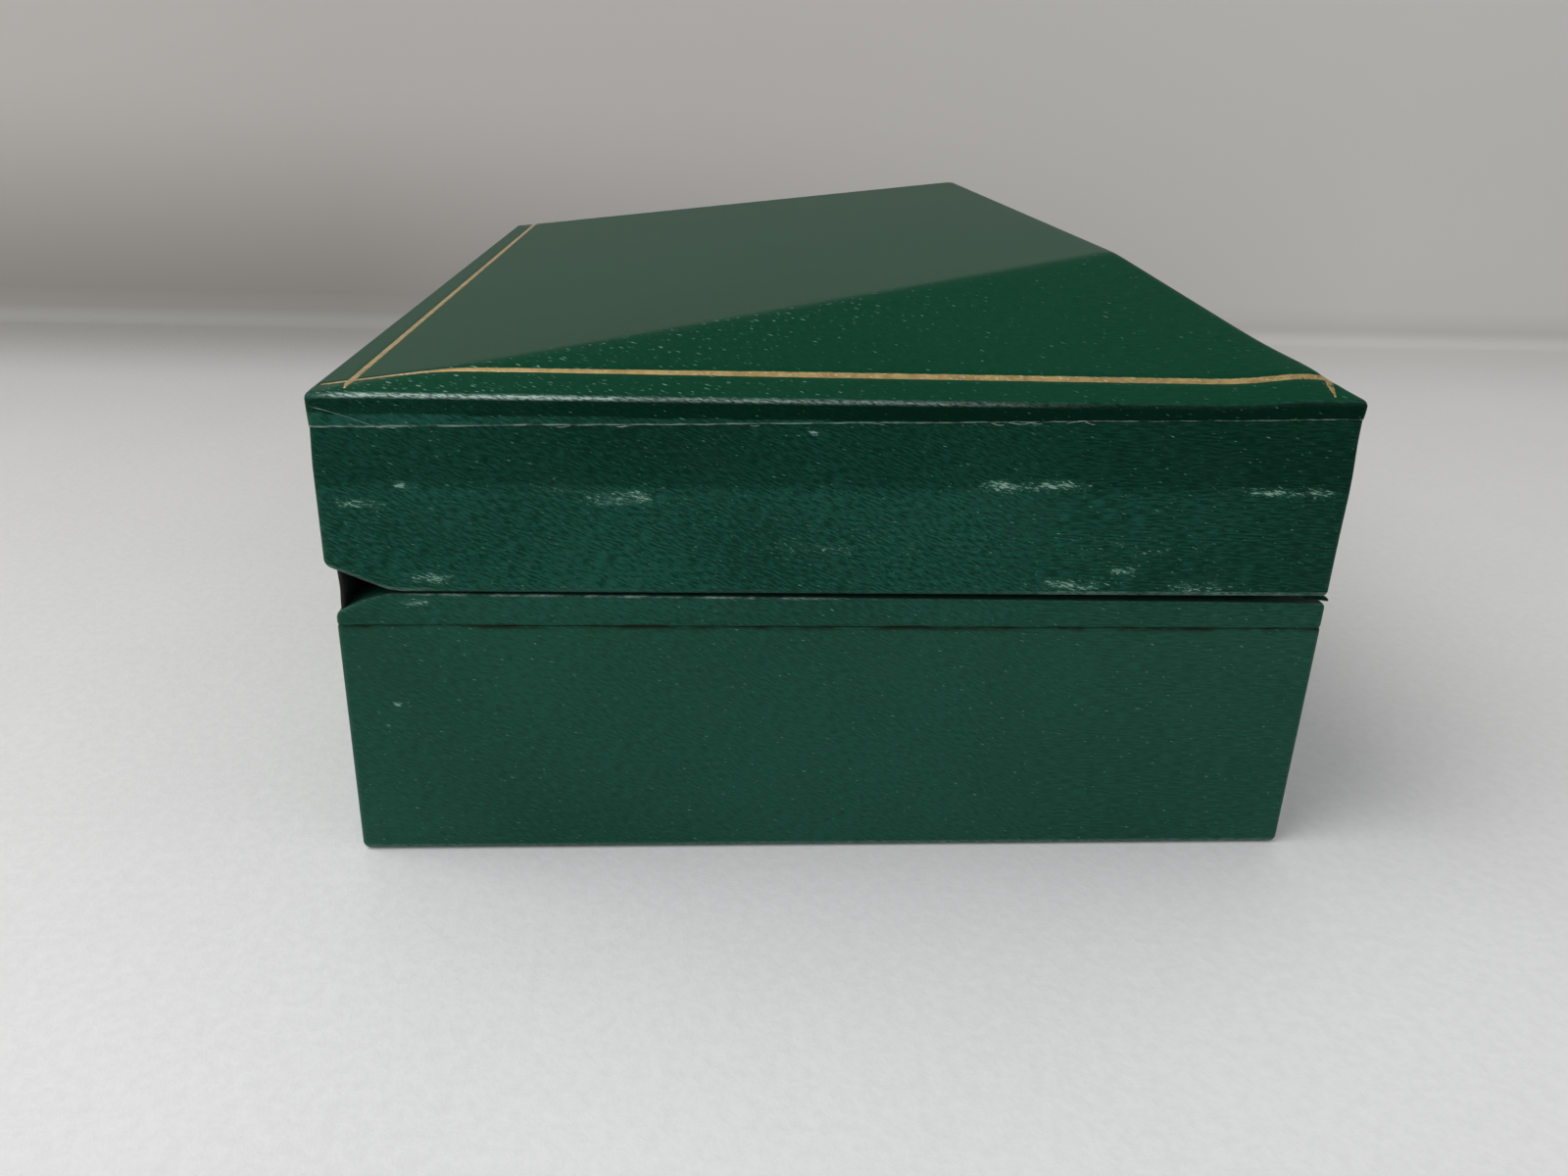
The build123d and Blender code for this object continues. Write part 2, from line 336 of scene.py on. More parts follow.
def eave_slopes(outline):
    """Slope of the top above each column, turning gradually at the corners."""
    right, rear = outline.normal.T
    weight = np.clip([-rear, right, rear, -right], 0, 1)
    return (slope_angles[:, None] * weight ** 2).sum(axis=0)


def eave_rows(line, inset, turns, bands):
    """Rows up the turned-down band and round the eave, at this depth below the outer face,
    with their cloth coordinates and the points where the eave meets the slopes."""
    slope = eave_slopes(line)
    wobble = 0.07 * mm * ripple(line.round[:-1], (31, 13, 4.7, 1.9), 3)
    radius = fold_radius - inset
    centre_out = line.radius - fold_radius
    centre_up = lid_edge + np.tan(slope) * fold_radius - fold_radius / np.cos(slope)
    tangent_out = centre_out + radius * np.sin(slope)
    tangent = line.at(tangent_out)
    plane = lid_edge - inset / np.cos(slope) + np.tan(slope) * (line.radius - tangent_out)
    lift = roof(*tangent.T) - inset / np.cos(slope) - plane
    rows, spread = [], []
    for v in np.linspace(0, 1, bands, endpoint=False):
        here = line.at(line.radius - inset - 0.12 * mm * (1 - v) ** 1.5)
        low = trim(here[:, 1]) + wobble
        rows.append(with_height(here, between(low, centre_up + lift, v)))
        spread.append(radius * (math.pi / 2) + (centre_up - low) * (1 - v))
    for v in np.linspace(0, 1, turns, endpoint=False):
        angle = (math.pi / 2 - slope) * v
        here = line.at(centre_out + radius * np.cos(angle))
        rows.append(with_height(here, centre_up + radius * np.sin(angle) + lift))
        spread.append(radius * (math.pi / 2 - slope) * (1 - v))
    cloth = [tangent + line.normal * run[:, None] for run in spread]
    return rows, cloth, tangent


def slope_rows(line, tangent, shares, inset):
    """Rows from the eave to the ridge; the pressed gold line shows on the outer face only."""
    left = np.array([ridge_from_end - half_length, ridge_from_front - half_depth])
    right = left * [-1, 1]
    starts, stops = np.array([left, right, right, left]), np.array([right, right, left, left])
    on_ridge = between(starts[line.side], stops[line.side], line.share[:, None])
    cloth = [between(tangent, on_ridge, share) for share in shares]
    rows = [with_height(here, roof(*here.T) - (inset or pressed(*here.T))) for here in cloth]
    return rows, cloth


def top_wear(rows, band, eave, slopes):
    """How worn the top sheet is, and where painted shade and a painted highlight lie on it. Its band, eave and
    slopes start at the given rows.
    """
    row = np.arange(len(rows))[:, None]
    x, y, z = rows.transpose(2, 0, 1)
    from_rear, from_end = half_depth - y, half_length - np.abs(x)
    on_left = x < -half_length + 3 * mm
    turn = np.clip((row - eave) / (slopes - 1 - eave), 0, 1)   # 0 to 1 round the eave

    # the eave is rubbed pale and carries a painted highlight, strong at the rear half of the left end and less
    # towards the front
    crest = np.sin(between(0.2, math.pi - 0.2, turn)) ** 3 * ((row >= eave) & (row < slopes))
    rubbed = 1.25 - 0.7 * fade(24, 42, from_rear) - 0.53 * fade(60, 92, from_rear)
    lumps = 0.86 + 0.14 * ripple(lid_outline.round[:-1], (23, 9.1, 3.3), 5)
    rub = crest * np.where(on_left, rubbed * fade(0.5, 5, from_rear), 0.35) * lumps
    on_band = (row >= band) & (row <= eave)
    wear = 0.3 * marks_at(lid_marks, x, y, z) * (z < lid_edge - 1 * mm)
    wear += 0.22 * on_band * np.where(on_left, 1.6 - fade(10, 45, from_rear), 0.8)

    # fine pale specks on the end slopes, thickest near the rear hip and above the eave
    to_hip = from_rear / ridge_from_rear * ridge_from_end - from_end
    speck = 0.25 + 0.5 * np.exp(-np.abs(to_hip) / (5 * mm)) + 0.45 * np.exp(-from_end / (2.2 * mm))
    speck = speck * (1.15 - fade(35, 95, from_rear))
    speck = speck * ((z > lid_edge - 0.3 * mm) & (to_hip > -1.5 * mm))

    # painted shade: the band is darkened, and towards the front so is the eave above it
    forward = fade(12, 70, from_rear)
    shade = 1 - smoothstep(0.5 * forward, 0.35 + 0.65 * forward, turn)
    shade = shade * np.where(on_left, 0.7 + 0.22 * forward, 0.5) * (z > trim_front - mm)
    cut = 1.0 * (row == band) + 0.8 * (row == band - 1)
    return {"wear": wear, "rub": rub, "cut": cut, "shade": shade, "speck": speck,
            "plain": row >= slopes}


def top_sheet():
    """The covering of the top: four slopes, rounded eaves and the band turned down."""
    turns, bands = 9, 12
    shares = np.concatenate([
        np.linspace(0, 0.075, 28, endpoint=False), np.linspace(0.075, 0.27, 19, endpoint=False),
        np.linspace(0.27, 1, 84),
    ])
    outer, outer_cloth, tangent = eave_rows(lid_outline, 0, turns, bands)
    top, top_cloth = slope_rows(lid_outline, tangent, shares, 0)
    inner, inner_cloth, inner_tangent = eave_rows(lid_outline, sheet, 2, 2)
    under, under_cloth = slope_rows(lid_outline, inner_tangent, np.linspace(0, 1, 9), sheet)
    rows = np.array((inner + under)[::-1] + outer + top)
    cloth = np.array((inner_cloth + under_cloth)[::-1] + outer_cloth + top_cloth)
    cloth = np.concatenate([cloth, cloth[:, :1]], axis=1)
    band = len(inner + under)
    return lattice("lid_top_leatherette", rows, uv=(-cloth[..., 1], -cloth[..., 0]),
                   attributes=top_wear(rows, band, band + bands, band + bands + turns))


class Strip:
    """Leatherette round the box, gathered row by row: its outer face and fold, then its back."""

    def __init__(self, outline):
        self.outline = outline
        self.along = outline.round[:-1]
        self.on_left = outline.normal[:, 0] < -0.7
        self.from_rear = outline.rear - outline.base[:, 1]
        self.rows, self.states = [], []

    def row(self, inward, up, **states):
        """A row this far inside the outer face; up is its height, or gives it for each y.
        The states say how worn and rubbed the sheet is there, and where painted highlight and painted shade lie."""
        here = self.outline.at(self.outline.radius - inward)
        self.rows.append(with_height(here, up(here[:, 1]) if callable(up) else up))
        self.states.append(states)

    def fold(self, radius, steps, edge, rub):
        """Rows round a lower edge, or an upper one where the radius is negative."""
        for a in np.linspace(0, math.pi / 2, steps):
            self.row(abs(radius) * (1 - math.cos(a)),
                     lambda y: edge(y) + radius * (1 - math.sin(a)), rub=rub(a))

    def piece(self, name, marks, paler_tone=0.0, downwards=1):
        rows, states = self.rows + self.rows[:1], self.states + self.states[:1]
        rows = np.array(rows)
        attributes = {"paler_tone": paler_tone}
        for key in ("wear", "rub", "shade", "seam"):
            attributes[key] = np.array([state.get(key, 0.0) + 0 * self.along for state in states])
        attributes["wear"] += marks_at(marks, *rows.transpose(2, 0, 1))
        steps = np.linalg.norm(np.diff(rows, axis=0), axis=2)
        down = np.vstack([0 * self.along, np.cumsum(steps, axis=0)]) * downwards
        down = np.column_stack([down, down[:, 0]])
        return lattice(name, rows, uv=(self.outline.round, down), attributes=attributes)


def lid_side_sheet():
    """Covering of the lid's sides: from under the top sheet down and round the lower edge."""
    strip = Strip(lid_outline)
    left = strip.on_left
    fold, lap, inner_face = 0.75 * mm, 0.35 * mm, 0.62 * mm
    # the end board is not quite flat: a slight ridge half way up catches the rubbing
    crease, bulge = 48.3 * mm, 0.14 * mm
    # painted shade on the left end: darker above the ridge, and darker towards the front
    darker = 0.34 * fade(72, 116, strip.from_rear)
    for v in np.linspace(0, 1, 44):
        def up(y):
            return between(trim(y) + lap, lid_under(y) + fold, v)
        height = up(lid_outline.at(corner_radius)[:, 1])
        tucked = 0.2 * mm * smoothstep(trim_rear - 5 * mm, trim_rear + 1 * mm, height)
        swell = bulge * (0.6 - np.abs(height - crease) / (13 * mm)) * left
        upper = 0.42 * smoothstep(crease - 0.5 * mm, crease + 1.2 * mm, height) * left
        strip.row(tucked - swell, up, shade=upper + (1 - upper) * darker * left,
                  wear=0.16 + 0.12 * hump(height - crease, 1.2 * mm) * left)

    ends = np.maximum(fade(76, 90, strip.from_rear), fade(14, 9, strip.from_rear))
    edge_rub = np.where(left, 0.05 + 0.25 * ends, 0.2)
    edge_rub = edge_rub * (0.65 + 0.35 * ripple(strip.along, (19, 7, 2.6), 11))
    strip.fold(fold, 8, lid_under, lambda a: edge_rub * abs(math.sin(2 * a + 0.3)))
    for inward in (1.6, 2.6, 3.6, 4.6, 5.6):
        strip.row(inward * mm, lid_under)
    turned_in = wall + 0.22 * mm
    inside_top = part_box("lid_front_liner")[0].z + 0.8 * mm
    strip.row(turned_in, lid_bottom + 0.5 * mm)
    strip.row(turned_in, inside_top)
    strip.row(wall, inside_top)
    strip.row(wall, lid_bottom + sheet)
    for inward in (3.0, 1.0):
        strip.row(inward * mm, lambda y: lid_under(y) + sheet)
    strip.row(inner_face, lambda y: lid_under(y) + 2 * mm)
    strip.row(inner_face, lambda y: trim(y) + lap)
    return strip.piece("lid_side_leatherette", lid_marks)


def seam_edge(strip, gap):
    """One ragged edge of the seam round the base, this far above or below its middle."""
    return seam_height + gap + 0.05 * mm * ripple(strip.along, (27, 8, 2.3), 22)


def rim_sheet():
    """Strip of covering round the rim, turned over it to the inside."""
    strip = Strip(base_outline)
    fold, inner_face = 0.7 * mm, 0.58 * mm
    low = seam_edge(strip, 0.04 * mm)
    visible = 0.25 + 0.75 * fade(4, 26, strip.from_rear)
    visible = np.where(strip.on_left, visible, 0.8)
    for v in np.concatenate([[0, 0.02, 0.05], np.linspace(0.1, 1, 10)]):
        strip.row(groove_depth * (1 - smoothstep(0, 0.09, v)),
                  lambda y: between(low, rim(y) - fold, v),
                  wear=0.1, seam=visible * (1 - smoothstep(0.01, 0.10, v)))

    dashes = fade(6, 14, strip.from_rear) * (1 - fade(52, 66, strip.from_rear))
    broken = smoothstep(-0.25, 0.25, ripple(strip.along, (11, 5, 2.1), 21))
    rim_rub = np.where(strip.on_left, 0.1 + 0.7 * dashes * broken, 0.25 * broken)
    strip.fold(-fold, 13, rim, lambda a: rim_rub * hump(a - 1.15, 0.24))
    for inward in (1.4, 2.2, 3.2, 4.2, 5.4):
        strip.row(inward * mm, rim, wear=0.05)
    turned_in, turned_down = wall + 0.3 * mm, 3 * mm
    for inward, drop in ((turned_in, 0.4 * mm), (turned_in, turned_down), (wall, turned_down),
                         (wall, sheet), (3.0 * mm, sheet), (1.2 * mm, sheet)):
        strip.row(inward, lambda y: rim(y) - drop)
    strip.row(inner_face, low)
    return strip.piece("base_rim_leatherette", base_marks, paler_tone=0.35, downwards=-1)


def base_side_sheet():
    """Covering of the base's sides, from the seam down, round the bottom edge and under."""
    strip = Strip(base_outline)
    fold, inner_face = 1.0 * mm, 0.58 * mm
    high = seam_edge(strip, -0.04 * mm)
    for v in np.concatenate([[0, 0.003, 0.007], np.linspace(0.015, 0.1, 6),
                             np.linspace(0.13, 1, 34)]):
        strip.row(groove_depth * (1 - smoothstep(0, 0.012, v)), between(high, fold, v),
                  seam=1 - smoothstep(0.0, 0.02, v), wear=0.03 + 0.08 * (1 - v))
    strip.fold(fold, 8, lambda y: 0 * y, lambda a: 0.22 * math.sin(2 * a))
    for inward in (2.5, 5.0, 8.9):
        strip.row(inward * mm, 0)
    for inward in (8.9, 5.0, 1.2):
        strip.row(inward * mm, sheet)
    strip.row(inner_face, 2 * mm)
    strip.row(inner_face, high)
    return strip.piece("base_side_leatherette", base_marks, paler_tone=0.5)


def gold_line(number, start, stop):
    """A ribbon of foil pressed into the top from one point to another, with rough edges."""
    start, stop = np.array(start), np.array(stop)
    length = np.linalg.norm(stop - start)
    direction = (stop - start) / length
    across = np.array([-direction[1], direction[0]])
    stations = np.arange(0, length, 0.35 * mm)
    to_end = np.minimum(stations, length - stations)
    rough = 0.05 * mm
    left_edge = gold_width / 2 + rough * ripple(stations, (9, 3.1, 1.3), 31 + number)
    right_edge = gold_width / 2 + rough * ripple(stations, (7, 2.7, 1.1), 41 + number)
    taper = 0.25 + 0.75 * fade(0, 2, to_end)
    if number == 3:
        # the line beside the left end is thinner towards the rear
        taper *= 0.72 + 0.28 * fade(25, 60, stations)
    middle = start + direction * stations[:, None]
    # the section: share of the half width, and height over the pressed line in mm
    section = [(-1, -0.03), (-0.8, 0.025), (-0.4, 0.035), (0, 0.035), (0.4, 0.035),
               (0.8, 0.025), (1, -0.03), (0, -0.04), (-1, -0.03)]
    rows = []
    for share, lift in section:
        edge = np.where(share < 0, left_edge, right_edge) * taper
        here = middle + across * (share * edge)[:, None]
        rows.append(with_height(here, roof(*here.T) - pressed(*here.T) + lift * mm))
    to_corner = np.linalg.norm(middle + [half_length, half_depth], axis=1)
    worn = 0.5 * np.exp(-to_end / (6 * mm)) + 0.55 * hump(to_corner, 8 * math.sqrt(2) * mm)
    return lattice(f"gold_line_{number}", np.array(rows).transpose(1, 0, 2), closed=False,
                   uv=(stations[:, None], np.arange(len(section)) * 0.15 * mm),
                   attributes={"wear": worn[:, None]}, merge=0.001 * mm)


def gold_border():
    """Four pressed foil ribbons, one parallel to each side, crossing near the corners."""
    front, right, rear, left = gold_lines
    low_y, high_y = front - half_depth, half_depth - rear
    low_x, high_x = left - half_length, half_length - right
    x, y = half_length - 1.0 * mm, half_depth - 1.0 * mm
    ribbons = [((-x, low_y), (x, low_y)), ((high_x, -y), (high_x, y)),
               ((x, high_y), (-x, high_y)), ((low_x, y), (low_x, -y))]
    return [gold_line(number, *ends) for number, ends in enumerate(ribbons)]


def hinge_cloth():
    """Black cloth that joins base and lid along the rear, glued under both coverings."""
    thick, reach, bend = 0.2 * mm, 6.5 * mm, 1.3 * mm
    x = np.linspace(-half_length + 0.7 * mm, half_length - 0.7 * mm, 220)
    heights = np.linspace(-reach, reach, 53)
    rows = []
    for up, face in [(h, 1) for h in heights] + [(h, -1) for h in heights[::-1]] + [(-reach, 1)]:
        sag = 0.12 * mm * hump(up, 1.6 * mm)
        y = hinge_line.y + face * thick - sag + 0.03 * mm * np.sin(x / (5.3 * mm))
        rows.append(np.column_stack([x, y, np.full_like(x, hinge_line.z + up)]))
    rows = np.array(rows)
    piece = lattice("hinge_cloth_sheet", rows, uv=(rows[..., 0], rows[..., 2]), closed=False,
                    merge=0.001 * mm)
    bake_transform(piece)
    return piece


# ---------------- lining cards
side_names = ("front", "right", "rear", "left")


def round_section(height, radius):
    """Points round a card's section with rounded corners, as (depth, height)."""
    points = []
    for turn, (cx, cz) in enumerate([
        (card - radius, radius), (card - radius, height - radius),
        (radius, height - radius), (radius, radius),
    ]):
        for angle in np.linspace(turn - 1, turn, 5) * math.pi / 2:
            points.append((cx + radius * math.cos(angle), cz + radius * math.sin(angle)))
    return points + points[:1]


def mitred_card(node, side, softness):
    """A cloth-covered card in a CAD card's place: soft edges, ends cut on the mitre, and an
    inner face that is never quite flat."""
    low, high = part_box(node)
    along_x = side in ("front", "rear")
    half = (high.x - low.x) / 2 if along_x else (high.y - low.y) / 2
    height = high.z - low.z
    inward = 1 if side in ("front", "left") else -1
    outer_face = {"front": low.y, "rear": high.y, "left": low.x, "right": high.x}[side]
    stations = np.linspace(-1, 1, 90)
    rows = []
    for depth, up in round_section(height, softness):
        run = stations * (half - depth)
        swell = 0.05 * mm * ripple(run, (37, 15, 6), 50 + side_names.index(side))
        swell = swell * math.sin(math.pi * up / height) * (depth > card / 2)
        face = outer_face + inward * (depth + swell)
        columns = (run, face) if along_x else (face, run)
        rows.append(with_height(np.column_stack(columns), low.z + up))
    rows = np.array(rows)
    return lattice(f"{node}_covered", rows, uv=(stations * half, rows[..., 2]), closed=False,
                   merge=0.001 * mm)


def insert_deck():
    """The velvet-covered deck with soft edges that roll down into the cushion's well."""
    low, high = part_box("insert_deck")
    well_x = (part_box("well_right_card")[0].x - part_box("well_left_card")[1].x) / 2
    well_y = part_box("well_rear_card")[0].y
    soft, swelling = 1.3 * mm, 0.12 * mm
    rings = []
    for x, y, radius in ((high.x, high.y, 1.2 * mm), (well_x, well_y, 2.4 * mm)):
        ring = Outline(x, -y, y, radius, stations=lambda run: np.linspace(0, run, 40))
        rings += [ring.at(radius), ring.normal]
    outer, outer_normal, inner, inner_normal = rings
    rows = [with_height(outer, low.z)]
    for angle in np.linspace(0, math.pi / 2, 6):
        rows.append(with_height(outer - outer_normal * soft * (1 - math.cos(angle)),
                                high.z - soft * (1 - math.sin(angle))))
    start, stop = outer - outer_normal * soft, inner + inner_normal * soft
    around = np.arange(len(outer)) * 3.1 * mm
    for share in np.linspace(0, 1, 26)[1:-1]:
        swell = ripple(around, (61, 23), 60) * math.sin(math.pi * share) - 1
        rows.append(with_height(between(start, stop, share), high.z + swelling * swell))
    for angle in np.linspace(0, math.pi / 2, 8):
        rows.append(with_height(stop - inner_normal * soft * math.sin(angle),
                                high.z - soft * (1 - math.cos(angle))))
    rows += [with_height(inner, low.z), rows[0]]
    rows = np.array(rows)
    cloth = np.concatenate([rows, rows[:, :1]], axis=1)
    return lattice("insert_deck_velvet", rows, uv=(cloth[..., 0], cloth[..., 1]))


# ---------------- stuffed pieces
def settled(piece):
    """Works the piece's modifiers into its mesh."""
    bpy.context.view_layer.update()
    graph = bpy.context.evaluated_depsgraph_get()
    mesh = bpy.data.meshes.new_from_object(piece.evaluated_get(graph))
    piece.modifiers.clear()
    piece.data = mesh


def blow_up(piece, pressure, cap, held):
    """Cloth simulation with air inside; no point moves further than the cap."""
    before = points_of(piece.data)
    cloth = piece.modifiers.new("cloth", "CLOTH")
    cloth.settings.quality = 6
    cloth.settings.use_pressure = True
    cloth.settings.uniform_pressure_force = pressure
    cloth.settings.effector_weights.gravity = 0
    cloth.collision_settings.use_collision = False
    if held is not None:
        group = piece.vertex_groups.new(name="held")
        group.add([int(index) for index in np.nonzero(held(before))[0]], 1.0, "REPLACE")
        cloth.settings.vertex_group_mass = "held"
    for step in range(1, 21):
        bpy.context.scene.frame_set(step)
    settled(piece)
    moved = points_of(piece.data) - before
    far = np.linalg.norm(moved, axis=1, keepdims=True)
    place_points(piece.data, before + moved * np.minimum(1, cap / np.maximum(far, 1e-9)))
    bpy.context.scene.frame_set(1)


def stuffed(name, size, enlarge, voxel, cap, pressure=4.0, held=None, calm=2):
    """A closed cloth form blown up softly, and its points about its middle. It is simulated
    enlarged, because cloth settings suit furniture, then brought back to the size given."""
    work = bmesh.new()
    bmesh.ops.create_cube(work, size=1.0)
    bmesh.ops.scale(work, verts=work.verts, vec=Vector(size) * enlarge)
    bmesh.ops.bevel(work, geom=work.edges, affect="EDGES", segments=5, profile=0.5,
                    offset=min(size) * enlarge * 0.36)
    mesh = bpy.data.meshes.new(name)
    work.to_mesh(mesh)
    work.free()
    piece = linked(name, mesh)
    remesh = piece.modifiers.new("remesh", "REMESH")
    remesh.mode, remesh.voxel_size = "VOXEL", voxel
    settled(piece)
    blow_up(piece, pressure, cap * enlarge, held and (lambda at: held(at / enlarge)))
    relax = piece.modifiers.new("relax", "SMOOTH")
    relax.factor, relax.iterations = 0.5, calm
    smooth = piece.modifiers.new("smooth", "SUBSURF")
    smooth.levels = smooth.render_levels = 1
    settled(piece)
    piece.data.shade_smooth()
    at = points_of(piece.data)
    return piece, at / np.abs(at).max(axis=0) * (np.array(size) / 2)


def swept(path, ahead, out, radius, sides):
    """Rows of points round a path, from its directions and one side of it."""
    ahead = unit(ahead)
    out = unit(out - ahead * (out * ahead).sum(axis=1, keepdims=True))
    across = np.cross(ahead, out)
    return np.array([path + radius * (out * math.cos(angle) + across * math.sin(angle))
                     for angle in np.linspace(0, 2 * math.pi, sides + 1)])


def cord(name, path, radius, sides=10):
    """A cord along a closed path."""
    path = np.array(path)
    ahead = np.roll(path, -1, axis=0) - np.roll(path, 1, axis=0)
    rows = swept(path, ahead, path - path.mean(axis=0), radius, sides)
    run = np.concatenate([[0], np.cumsum(np.linalg.norm(np.roll(path, -1, 0) - path, axis=1))])
    turn = np.linspace(0, 2 * math.pi, sides + 1)[:, None] * radius
    return lattice(name, rows, uv=(run, turn), merge=0.0005 * mm)


def cushion_cord(name, at, size, seam_x):
    """The cord sewn over a seam of the cushion whose points are given, about its middle."""
    ring = at[np.abs(at[:, 0] - seam_x) < 1.6 * mm]
    angles = np.arctan2(ring[:, 2], ring[:, 1])
    reach = np.linalg.norm(ring[:, 1:], axis=1)
    lowest = 0.75 * mm - size.z / 2
    path = []
    for angle in np.linspace(-math.pi, math.pi, 120, endpoint=False):
        away = np.abs((angles - angle + math.pi) % (2 * math.pi) - math.pi)
        weight = hump(away, 0.06) * (reach > 0.25 * size.z)
        r = (reach * weight).sum() / weight.sum() + 0.55 * mm
        path.append((seam_x, r * math.cos(angle), max(r * math.sin(angle), lowest)))
    return cord(name, path, 0.8 * mm)


def watch_cushion():
    """A stuffed cushion: cloth wrapped round it and sewn to two end panels with cord."""
    low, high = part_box("watch_cushion")
    size, middle = high - low, (low + high) / 2
    piece, at = stuffed("cushion_stuffed", size, 5, 8 * mm, 3.5 * mm, pressure=2.5, calm=8)
    # the seam to each end panel draws the cloth in, and small gathers run from it
    seam_x = size.x / 2 - 7.5 * mm
    inside_seam = seam_x - np.abs(at[:, 0])
    half = np.array(size) / 2
    outer = smoothstep(0.6, 0.95, np.linalg.norm(at[:, 1:] / half[1:], axis=1))
    around = np.arctan2(at[:, 2], at[:, 1])
    draw = 0.055 * hump(inside_seam, 1.8 * mm)
    gathers = 0.012 * np.sin(around * 30 + np.sin(around * 5) * 2)
    gathers = gathers * np.exp(-np.maximum(inside_seam, 0) / (4 * mm)) * (inside_seam > 0)
    creases = 0.0035 * np.sin(at[:, 0] / (8 * mm) + 3 * np.sin(around * 2))
    at[:, 1:] *= (1 + (gathers + creases - draw) * outer)[:, None]
    at = np.clip(at, -half, half)
    at[:, 2] = np.maximum(at[:, 2], -0.985 * half[2])
    place_points(piece.data, at + middle)
    piece.data.update()
    cords = []
    for name, seam in (("cushion_cord_left", -seam_x), ("cushion_cord_right", seam_x)):
        cords.append(cushion_cord(name, at, size, seam))
        place_points(cords[-1].data, points_of(cords[-1].data) + middle)
    return piece, cords


def satin_pad():
    """The padded satin panel in the lid: crowned, with small puckers round its edge."""
    low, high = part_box("lid_satin_pad")
    size, middle = high - low, (low + high) / 2
    piece, at = stuffed("lid_pad_satin", size, 4, 9 * mm, 2.2 * mm,
                        held=lambda at: at[:, 2] > size.z * 0.32)
    from_x = size.x / 2 - np.abs(at[:, 0])
    from_y = size.y / 2 - np.abs(at[:, 1])
    from_edge = np.minimum(from_x, from_y)
    front_face = smoothstep(0.1 * size.z, -0.25 * size.z, at[:, 2])
    along = np.where(from_x < from_y, at[:, 1], at[:, 0])
    pucker = 0.8 * mm * ripple(along, (6.3, 3.9, 9.7), 71) * np.exp(-from_edge / (6.5 * mm))
    soft = 0.25 * mm * ripple(at[:, 0] + 0.4 * at[:, 1], (47, 29), 72)
    crown = 1.5 * mm * (1 - fade(0, 32, from_edge))
    at[:, 2] += front_face * (pucker + soft + crown)
    at[:, 2] = np.clip(at[:, 2], -size.z / 2, size.z / 2)
    place_points(piece.data, at + middle)
    piece.data.update()
    return piece


# ---------------- frayed bits
def strand(number, y, z, x, radius, sides=6):
    """A thin thread on the lid along an open path, drawn to a point at both ends."""
    path = np.column_stack([x - half_length - 0.03 * mm, y, z])
    share = np.linspace(0, 1, len(path))
    thick = radius * np.clip(np.minimum(share, 1 - share) * 8, 0.15, 1)[:, None]
    ahead = unit(np.gradient(path, axis=0))
    rows = swept(path, ahead, np.cross(ahead, [0.31, 0.17, 0.93]), thick, sides)
    return lattice(f"lid_thread_{number}", rows, closed=False,
                   uv=(share * 10 * mm, np.arange(sides + 1)[:, None] * radius))


def loose_threads():
    """Fibres that have come out of the cut edge on the left end; a long one at the mitre."""
    share = np.linspace(0, 1, 24)
    y = half_depth - between(0.6 * mm, 8.6 * mm, share)
    z = between(lid_edge - 1.4 * mm, trim_rear - 0.1 * mm, share)
    z = z + 0.25 * mm * np.sin(share * 3.1) * (1 - share)
    threads = [strand(0, y, z, -0.02 * mm * np.sin(share * 9), 0.036 * mm)]
    places = random.uniform(0.06, 0.80, 11)
    lengths = random.uniform(0.8, 2.6, 11) * mm
    leans = random.uniform(-0.16, 0.10, 11)
    share = np.linspace(0, 1, 9)
    for i, (place, length, lean) in enumerate(zip(places, lengths, leans)):
        y = half_depth - place * 2 * half_depth - length * share
        z = trim(y) - 0.05 * mm + lean * length * share + 0.08 * mm * np.sin(share * 5 + i)
        bow = -0.05 * mm * np.sin(share * math.pi)
        threads.append(strand(i + 1, y, z, bow, 0.032 * mm))
    return threads


def corner_flap():
    """The end of a folded corner of leatherette that sticks out of the gap at the front."""
    stations = np.linspace(0, 1, 14)
    rows = []
    for out, up in ((0, 0), (0.5, -0.05), (1, 0), (1, 0.28), (0.5, 0.34), (0, 0.28), (0, 0)):
        x = np.full_like(stations, -half_length + (0.5 + 1.5 * out) * mm)
        y = -half_depth + (2.6 - 2.8 * stations) * mm
        z = lid_bottom - (0.42 - up) * mm - 0.25 * mm * stations ** 2
        rows.append(np.column_stack([x, y, z]))
    rows = np.array(rows)
    # painted shade over the flap, which hangs in the gap under the lid; its tip shows the pale cut edge
    return lattice("lid_corner_flap", rows, uv=(rows[..., 0], rows[..., 1]), closed=False,
                   attributes={"cut": smoothstep(0.9, 1, stations), "shade": 0.8},
                   merge=0.001 * mm)


